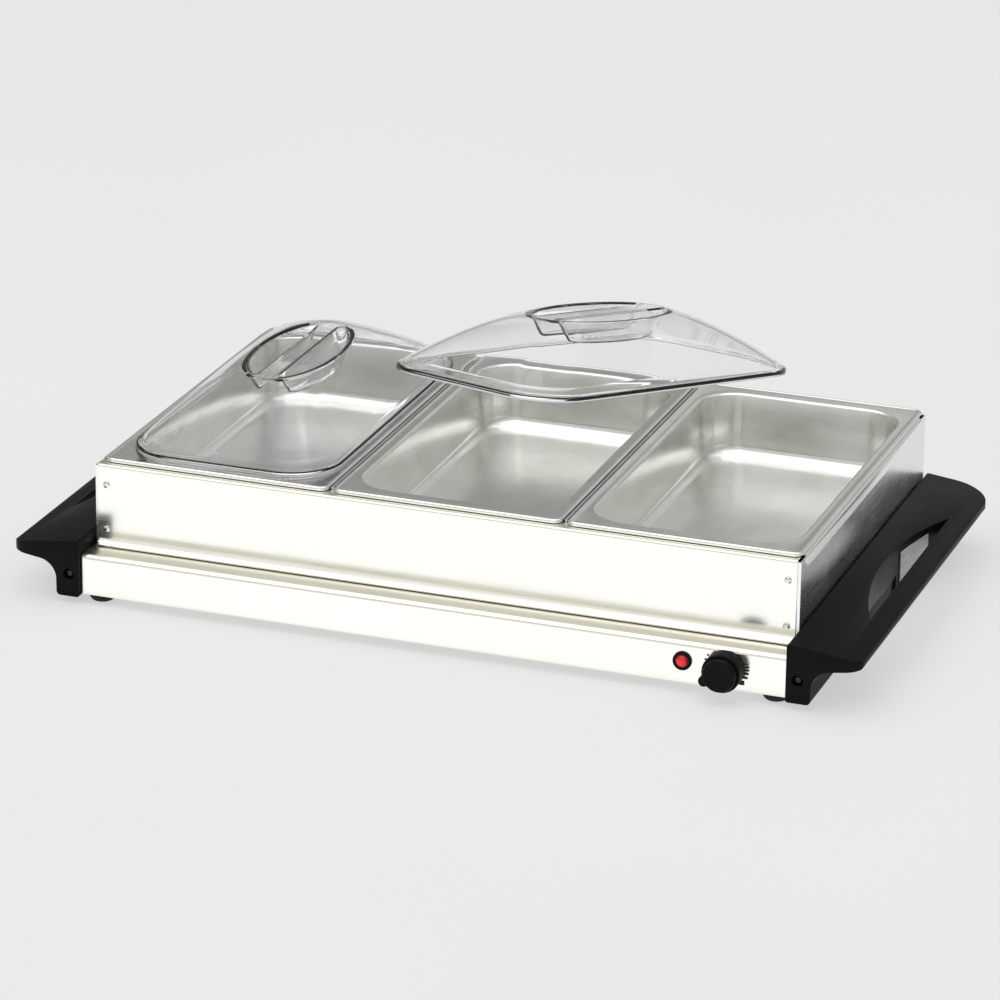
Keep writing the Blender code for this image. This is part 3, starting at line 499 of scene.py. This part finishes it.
def well_depth(x, y):
    """0 on the grip's rim and bar, 1 on the floor of its two half-moon finger wells."""
    edge = (1.0 - math.hypot(x / GRIP_HALF[0], y / GRIP_HALF[1])) * GRIP_HALF[0]
    rim_share = max(0.0, min(1.0, (edge - GRIP_LAND) / GRIP_RIM_SLOPE))
    bar_share = max(0.0, min(1.0, (abs(x) - GRIP_BAR_HALF) / GRIP_BAR_SLOPE))
    smooth = [share * share * (3.0 - 2.0 * share) for share in (rim_share, bar_share)]
    return smooth[0] * smooth[1]


def lid_surface(half_x, half_y):
    """The lid's upper surface round the origin: stepped rim, dome, and the sunk oval grip."""
    angles = [2 * math.pi * (i + 0.5) / LID_STEPS for i in range(LID_STEPS)]
    foot_inset, foot_height = DOME_FOOT
    rings = []
    for inset, height in LID_RIM:
        ring = []
        for angle in angles:
            x, y = on_rounded_box(angle, half_x - inset, half_y - inset, LID_CORNER - inset)
            ring.append((x, y, height))
        rings.append(ring)
    foot = [on_rounded_box(angle, half_x - foot_inset, half_y - foot_inset, LID_CORNER - foot_inset)
            for angle in angles]
    for k in range(DOME_STEPS + 1):
        t = k / DOME_STEPS
        rise = 1.0 - (1.0 - t) ** DOME_POWER
        ring = []
        for (foot_x, foot_y), angle in zip(foot, angles):
            x = foot_x + (GRIP_HALF[0] * math.cos(angle) - foot_x) * t
            y = foot_y + (GRIP_HALF[1] * math.sin(angle) - foot_y) * t
            ring.append((x, y, foot_height + (LID_RISE - foot_height) * rise))
        rings.append(ring)
    bm = bmesh.new()
    loops = [[bm.verts.new(point) for point in ring] for ring in rings]
    bridge(bm, loops)
    last = loops[-1]
    columns = []
    for i in range(LID_STEPS // 2):
        top, bottom = last[i], last[LID_STEPS - 1 - i]
        column = [bottom]
        for j in range(1, GRIP_STEPS):
            share = 0.5 - 0.5 * math.cos(math.pi * j / GRIP_STEPS)
            x = bottom.co.x
            y = bottom.co.y + (top.co.y - bottom.co.y) * share
            column.append(bm.verts.new((x, y, LID_RISE - GRIP_WELL_DEPTH * well_depth(x, y))))
        column.append(top)
        columns.append(column)
    for right, left in zip(columns, columns[1:]):
        for j in range(GRIP_STEPS):
            bm.faces.new((right[j], right[j + 1], left[j + 1], left[j]))
    bm.faces.new(columns[0][::-1])
    bm.faces.new(columns[-1])
    bmesh.ops.recalc_face_normals(bm, faces=bm.faces)
    top_face = max(bm.faces, key=lambda face: face.calc_center_median().z)
    if top_face.normal.z < 0:
        bmesh.ops.reverse_faces(bm, faces=bm.faces)
    return bm


def lid(name, turn):
    """A lid in place: turned, then fitted inside the CAD lid's box about the box's centre."""
    seat_low, seat_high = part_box("lid_left")
    bm = lid_surface((seat_high.x - seat_low.x) / 2, (seat_high.y - seat_low.y) / 2)
    bmesh.ops.transform(bm, matrix=turn, verts=bm.verts)
    low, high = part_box(name)
    own_low = Vector(min(vert.co[i] for vert in bm.verts) for i in range(3))
    own_high = Vector(max(vert.co[i] for vert in bm.verts) for i in range(3))
    share = min((high[i] - low[i]) / (own_high[i] - own_low[i]) for i in range(3))
    bmesh.ops.translate(bm, vec=-(own_low + own_high) / 2, verts=bm.verts)
    bmesh.ops.scale(bm, vec=[min(1.0, share)] * 3, verts=bm.verts)
    bmesh.ops.translate(bm, vec=(low + high) / 2, verts=bm.verts)
    piece = add_piece(name + "_dome", bm, "clear_lid", name, "clear_lid", name, sharp=50.0)
    thicken(piece, LID_WALL)
    return piece


# --- handles -----------------------------------------------------------------------------------

def handle_section(inner, tip):
    """Half section across the handle: the wing slopes to a rounded tip, a leg drops beside the base."""
    wing = [(inner, 0.0478), (inner + 0.0014, 0.0492), (0.3000, 0.0456)]
    tip_round = arc((tip - HANDLE_TIP_RADIUS, 0.0388), HANDLE_TIP_RADIUS, 75, -60, 18)
    throat = arc((0.3015, 0.0175), 0.0150, 100, 172, 14)
    heel = arc((0.2835, 0.0085), 0.0030, 0, -90, 8)
    toe = arc((inner + 0.0020, 0.0075), 0.0020, -90, -180, 6)
    return [*wing, *tip_round, *throat, *heel, *toe]


def handle_plan(inner, tip, front, back):
    """Outline from above, straight beside the base and rounded at the wing's two outer corners."""
    front_radius, back_radius = HANDLE_FRONT_RADIUS, HANDLE_BACK_RADIUS
    outline = [(inner - 0.01, front), (inner - 0.01, back)]
    outline += arc((tip - back_radius, back - back_radius), back_radius, 90, 0, 20)
    outline += arc((tip - front_radius, front + front_radius), front_radius, 0, -90, 14)
    return outline


def slot_plan():
    """D-shaped finger slot: straight on the outer side, bowed towards the base."""
    chord, bow = SLOT_HALF_LENGTH, SLOT_OUTER - SLOT_INNER
    radius = (chord ** 2 + bow ** 2) / (2 * bow)
    half_angle = math.degrees(math.asin(chord / radius))
    return arc((SLOT_INNER + radius, SLOT_MIDDLE_Y), radius, 180 + half_angle, 180 - half_angle, 48)


def screw_recess(end, hand, face_y):
    """Cutter for the sunk, slightly flared hole in front of a handle screw."""
    low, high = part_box(f"handle_screw_{end}_{hand}")
    centre = ((low.x + high.x) / 2, face_y, (low.z + high.z) / 2)
    bm = bmesh.new()
    turned(bm, SCREW_RECESS, centre, (0, -1 if end == "front" else 1, 0), 40)
    bmesh.ops.recalc_face_normals(bm, faces=bm.faces)
    return new_object("recess_" + end, bm)


def handle(side, name):
    """One moulding: the wing and leg, cut to the plan, with the web, the finger slot and screw recesses."""
    low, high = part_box(name)
    inner, tip = (low.x, high.x) if side > 0 else (-high.x, -low.x)
    web = [(WEB_X[0], WEB_Y[0]), (WEB_X[1], WEB_Y[0]), (WEB_X[1], WEB_Y[1]), (WEB_X[0], WEB_Y[1])]
    outlines = (handle_section(inner, tip), handle_plan(inner, tip, low.y, high.y), slot_plan(), web)
    if side < 0:
        outlines = [[(-x, y) for x, y in reversed(line)] for line in outlines]
    section, plan, slot, web = outlines
    body = extruded(name + "_moulding", section, "Y", low.y - 0.01, high.y + 0.01)
    cutters = [(extruded("plan", plan, "Z", -0.01, ABOVE_HANDLE), "INTERSECT"),
               (extruded("web", web, "Z", *WEB_Z), "UNION"),
               (extruded("slot", slot, "Z", 0.0, ABOVE_HANDLE), "DIFFERENCE")]
    hand = "left" if side < 0 else "right"
    for end, face_y in (("front", low.y), ("back", high.y)):
        cutters.append((screw_recess(end, hand, face_y), "DIFFERENCE"))
    for cutter, operation in cutters:
        boolean(body, cutter, operation)
    softened = body.modifiers.new("softened", "BEVEL")
    softened.width = 0.0008
    softened.segments = 3
    softened.limit_method = "ANGLE"
    softened.angle_limit = math.radians(38.0)
    softened.use_clamp_overlap = True
    apply_modifiers(body)
    for cutter, _ in cutters:
        bpy.data.objects.remove(cutter)
    body.data.shade_smooth()
    body.data.set_sharp_from_angle(angle=math.radians(32.0))
    paint(body, "black_plastic")
    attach(body, "base")
    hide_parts(name)
    return body


# --- knob, scale and pilot lamp ----------------------------------------------------------------

def knob():
    """A round skirt with a pointer nub, a tapered crown, and a dished face."""
    low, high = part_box("thermostat_knob")
    shaft_low, shaft_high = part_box("thermostat_shaft")
    centre_x, centre_z = (shaft_low.x + shaft_high.x) / 2, (shaft_low.z + shaft_high.z) / 2
    back, depth = high.y, high.y - low.y
    radius = max(high.x - centre_x, high.z - centre_z)
    nub = (KNOB_POINTER_REACH * math.cos(math.radians(KNOB_POINTER_ANGLE)),
           KNOB_POINTER_REACH * math.sin(math.radians(KNOB_POINTER_ANGLE)))
    angles = [2 * math.pi * i / KNOB_STEPS for i in range(KNOB_STEPS)]
    bm = bmesh.new()
    rings = []

    def skirt_reaches(shrink):
        """Radii of the round skirt joined to its nub, both pulled in by shrink."""
        reaches = []
        small = KNOB_POINTER_RADIUS - shrink
        for angle in angles:
            dx, dz = math.cos(angle), math.sin(angle)
            reach = radius - shrink
            along = dx * nub[0] + dz * nub[1]
            across = abs(dx * nub[1] - dz * nub[0])
            if along > 0 and small > across:
                reach = max(reach, along + math.sqrt(small ** 2 - across ** 2))
            reaches.append(reach)
        return reaches

    def add_ring(reaches, forward):
        """One ring round the knob's axis, forward of its back face."""
        rings.append([bm.verts.new((centre_x + math.cos(angle) * reach, back - forward,
                                    centre_z + math.sin(angle) * reach))
                      for angle, reach in zip(angles, reaches)])

    skirt_front = depth * KNOB_SKIRT
    for shrink, forward in ((0.0014, 0.0), (0.0003, 0.0), (0.0, 0.0004), (0.0, skirt_front)):
        add_ring(skirt_reaches(shrink), forward)
    for turn in (math.radians(30), math.radians(60), math.radians(90)):
        add_ring(skirt_reaches(KNOB_EDGE_ROUND * (1 - math.cos(turn))),
                 skirt_front + KNOB_EDGE_ROUND * math.sin(turn))
    for share, forward in KNOB_CROWN:
        add_ring([radius * share] * KNOB_STEPS, depth * forward)
    bridge(bm, rings)
    bm.faces.new(rings[0][::-1])
    bm.faces.new(rings[-1])
    bmesh.ops.recalc_face_normals(bm, faces=bm.faces)
    return add_piece("thermostat_knob_fine", bm, "black_plastic", "thermostat_knob", "black_plastic",
                     "thermostat_knob", sharp=30.0)


def scale_marks():
    """Printed bars that grow with the heat setting, and dots at the low end, round the knob."""
    plate_low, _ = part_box("warming_plate")
    shaft_low, shaft_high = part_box("thermostat_shaft")
    centre_x, centre_z = (shaft_low.x + shaft_high.x) / 2, (shaft_low.z + shaft_high.z) / 2
    face_y = plate_low.y
    bm = bmesh.new()
    for left, right, bottom, top in SCALE_BARS:
        bar = bmesh.ops.create_cube(bm, size=1.0)["verts"]
        bmesh.ops.scale(bm, vec=(right - left, PRINT_THICKNESS, top - bottom), verts=bar)
        middle = (centre_x + (left + right) / 2, face_y - PRINT_THICKNESS / 2, centre_z + (bottom + top) / 2)
        bmesh.ops.translate(bm, vec=middle, verts=bar)
    for dx, dz in SCALE_DOTS:
        profile = [(0.0, 0.0), (SCALE_DOT_RADIUS, 0.0), (SCALE_DOT_RADIUS, PRINT_THICKNESS),
                   (0.0, PRINT_THICKNESS)]
        turned(bm, profile, (centre_x + dx, face_y, centre_z + dz), (0, -1, 0), 16)
    bmesh.ops.recalc_face_normals(bm, faces=bm.faces)
    return add_piece("knob_scale", bm, "print", "base", "black_plastic")


def round_piece(name, node, profile, axis, steps, key, body, slot, at_high):
    """A lathe piece on the axis of a CAD node. Heights run from the node's outermost point inwards."""
    low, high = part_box(node)
    centre = (low + high) / 2
    index = [abs(value) for value in axis].index(1)
    centre[index] = high[index] if at_high else low[index]
    bm = bmesh.new()
    turned(bm, profile, centre, axis, steps)
    bmesh.ops.recalc_face_normals(bm, faces=bm.faces)
    return add_piece(name, bm, key, body, slot, node, sharp=40.0)


def domed(radius, height, steps=8):
    """Profile points of a shallow dome from its rim to its top, whose top is at height 0."""
    sphere = (radius ** 2 + height ** 2) / (2 * height)
    half = math.asin(min(1.0, radius / sphere))
    points = []
    for i in range(steps + 1):
        angle = half * (1.0 - i / steps)
        points.append((sphere * math.sin(angle), sphere * math.cos(angle) - sphere))
    points[-1] = (0.0, 0.0)
    return points


def pilot_light():
    """The red lens, domed at the front, in its black ring."""
    lens = [(0.0, -0.0110), (0.0047, -0.0110)] + domed(0.0047, 0.0024)
    round_piece("pilot_lens_fine", "pilot_lens", lens, (0, -1, 0), 48, "pilot_red", "base", "pilot_red",
                False)
    low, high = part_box("pilot_bezel")
    depth = high.y - low.y
    ring = [(0.0051, -depth), (0.0069, -depth), (0.0069, -0.0008)]
    ring += arc((0.0062, -0.0007), 0.0007, 0, 90, 5)
    ring += [(0.0056, 0.0), (0.0051, -0.0003), (0.0051, -depth)]
    round_piece("pilot_bezel_fine", "pilot_bezel", ring, (0, -1, 0), 64, "black_plastic", "base",
                "black_plastic", False)


def rivets():
    """Two domed rivets at each end of the riser's front and back."""
    head_radius, head_height, shank_radius = 0.0026, 0.0010, 0.0015
    for end, facing in (("front", -1), ("back", 1)):
        for hand in ("left", "right"):
            for level in ("low", "high"):
                node = f"rivet_{end}_{hand}_{level}"
                low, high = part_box(node)
                shank = high.y - low.y
                profile = [(0.0, -shank), (shank_radius, -shank), (shank_radius, -head_height)]
                profile += domed(head_radius, head_height)
                round_piece(node + "_fine", node, profile, (0, facing, 0), 40, "rivet", "riser", "zinc",
                            facing > 0)


def feet():
    """Four rubber feet with a bowl-shaped side, narrowest where they stand."""
    sole_share, side_rise = 0.60, 0.0052
    for row in ("front", "back"):
        for hand in ("left", "right"):
            node = f"foot_{row}_{hand}"
            low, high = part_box(node)
            radius = (high.x - low.x) / 2
            tall = high.z - low.z
            profile = [(0.0, -tall), (radius * sole_share, -tall)]
            for i in range(1, 11):
                turn = math.radians(9 * i)
                profile.append((radius * (sole_share + (1 - sole_share) * math.sin(turn)),
                                -tall + side_rise * (1 - math.cos(turn))))
            profile += [(radius, -0.0008), (radius - 0.0004, -0.0002), (radius - 0.0012, 0.0), (0.0, 0.0)]
            round_piece(node + "_fine", node, profile, (0, 0, 1), 56, "rubber", "base", "rubber", True)


# --- the CAD nodes that stay -------------------------------------------------------------------

KEPT_FINISHES = {
    "steel_along_x": ("warming_plate", "riser_front", "riser_back"),
    "steel_along_y": ("riser_side_left", "riser_side_right", "divider_bar_1", "divider_bar_2"),
    "black_screw": ("handle_screw_front_left", "handle_screw_front_right",
                    "handle_screw_back_left", "handle_screw_back_right"),
}


def paint_kept_nodes():
    """Every CAD node that shows gets the material of its slot, and the sheets their own grain direction."""
    for part in frame["record"]["subparts"]:
        node = frame["nodes"][part["node"]]
        if not node.hide_render:
            paint(node, part["material_slot"] if part["material_slot"] in MATERIALS else "zinc")
    for key, names in KEPT_FINISHES.items():
        for name in names:
            paint(frame["nodes"][name], key)


# --- studio ------------------------------------------------------------------------------------

def studio_floor():
    """A wide floor, mostly lit by its own even glow, so the shadows on it stay faint."""
    bm = bmesh.new()
    bmesh.ops.create_grid(bm, x_segments=1, y_segments=1, size=40.0)
    floor = new_object("studio_floor", bm)
    material, tree, shader = new_material("studio_floor")
    mottle = stretched_noise(tree, (3.0, 3.0, 3.0), detail=1.0)
    tree.links.new(blended_colour(tree, mottle, (0.28, 0.28, 0.28), (0.285, 0.285, 0.285)),
                   shader.inputs["Base Color"])
    shader.inputs["Emission Color"].default_value = (1.0, 1.0, 1.0, 1.0)
    shader.inputs["Emission Strength"].default_value = 0.545
    shader.inputs["Roughness"].default_value = 1.0
    shader.inputs["Specular IOR Level"].default_value = 0.0
    floor.data.materials.append(material)


def soft_light(name, place, target, size, radiance, colour=(1.0, 1.0, 1.0)):
    """A rectangular soft box that gives the same radiance all over."""
    light = bpy.data.lights.new(name, "AREA")
    light.shape = "RECTANGLE"
    light.size, light.size_y = size
    light.energy = radiance * math.pi * size[0] * size[1]
    light.color = colour
    made = bpy.data.objects.new(name, light)
    bpy.context.scene.collection.objects.link(made)
    made.location = place
    made.rotation_mode = "QUATERNION"
    made.rotation_quaternion = (Vector(target) - Vector(place)).to_track_quat("-Z", "Y")
    made.visible_camera = False


# World colours by the sine of the height above the horizon, and the backdrop that the camera sees.
WALL_MIDDLE, WALL_TOP = 0.42, 0.80
WALL_AT_FLOOR = (0.55, 0.55, 0.53, 1.0)
WALL = (0.44, 0.44, 0.42, 1.0)
CEILING = (1.05, 1.05, 1.05, 1.0)
BACKDROP = (0.807, 0.807, 0.807, 1.0)


def studio_world():
    """A pale studio, greyest at the walls and towards the back; seen directly it is the backdrop's grey."""
    world = bpy.data.worlds.new("studio")
    bpy.context.scene.world = world
    world.use_nodes = True
    tree = world.node_tree
    background = tree.nodes["Background"]
    place = add_node(tree, "ShaderNodeTexCoord")
    split = add_node(tree, "ShaderNodeSeparateXYZ")
    tree.links.new(place.outputs["Generated"], split.inputs["Vector"])
    walls = add_node(tree, "ShaderNodeValToRGB")
    stops = walls.color_ramp.elements
    stops[0].position, stops[0].color = 0.0, WALL_AT_FLOOR
    stops[1].position, stops[1].color = WALL_TOP, CEILING
    low_wall = stops.new(WALL_MIDDLE)
    low_wall.color = WALL
    tree.links.new(split.outputs["Z"], walls.inputs["Fac"])
    shade = ranged(tree, split.outputs["Y"], 1.12, 0.66, -0.8, 0.8)
    dimmed = add_node(tree, "ShaderNodeVectorMath", operation="SCALE")
    tree.links.new(walls.outputs["Color"], dimmed.inputs[0])
    tree.links.new(shade, dimmed.inputs["Scale"])
    rays = add_node(tree, "ShaderNodeLightPath")
    seen = add_node(tree, "ShaderNodeMix", data_type="RGBA")
    seen.inputs["B"].default_value = BACKDROP
    tree.links.new(rays.outputs["Is Camera Ray"], seen.inputs["Factor"])
    tree.links.new(dimmed.outputs["Vector"], seen.inputs["A"])
    tree.links.new(seen.outputs["Result"], background.inputs["Color"])


def studio_lights():
    soft_light("ceiling_light", (-0.3, -0.4, 2.4), (0.0, 0.0, 0.0), (3.2, 3.2), 0.70)
    soft_light("front_light", (-0.5, -3.0, 0.9), (0.0, 0.0, 0.1), (3.0, 1.4), 0.15)
    soft_light("front_card", (0.0, -0.94, 0.001), (0.0, -0.94, 1.0), (1.6, 1.5), 0.31, (0.93, 1.0, 1.16))
    soft_light("back_light", (0.6, 2.6, 1.0), (0.0, 0.0, 0.1), (2.6, 1.2), 0.25)


CAMERA_PLACE = (1.14809, -3.27158, 1.35971)
CAMERA_RIGHT = Vector((0.941352, 0.337193, 0.012522))
CAMERA_BACK = Vector((0.311511, -0.882719, 0.351806))


def camera():
    """A long lens from the front right and above, a little rolled, at the height of a standing viewer."""
    data = bpy.data.cameras.new("camera")
    data.lens = 180.0
    data.sensor_width = 36.0
    made = bpy.data.objects.new("camera", data)
    bpy.context.scene.collection.objects.link(made)
    back = CAMERA_BACK.normalized()
    up = back.cross(CAMERA_RIGHT).normalized()
    right = up.cross(back)
    turn = Matrix((right, up, back)).transposed().to_4x4()
    made.matrix_world = Matrix.Translation(CAMERA_PLACE) @ turn
    bpy.context.scene.camera = made


# --- putting it together -----------------------------------------------------------------------

bpy.context.scene.view_settings.view_transform = "Standard"
camera()
for hand in ("left", "middle", "right"):
    tray("tray_" + hand)
lid("lid_left", Matrix.Identity(4))
yaw, pitch, roll = (math.radians(angle) for angle in RAISED_LID_TURN)
raised = Matrix.Rotation(yaw, 4, "Z") @ Matrix.Rotation(pitch, 4, "X") @ Matrix.Rotation(roll, 4, "Y")
lid("lid_middle", raised)
handle(-1, "handle_left")
handle(1, "handle_right")
knob()
scale_marks()
pilot_light()
rivets()
feet()
paint_kept_nodes()
studio_floor()
studio_world()
studio_lights()
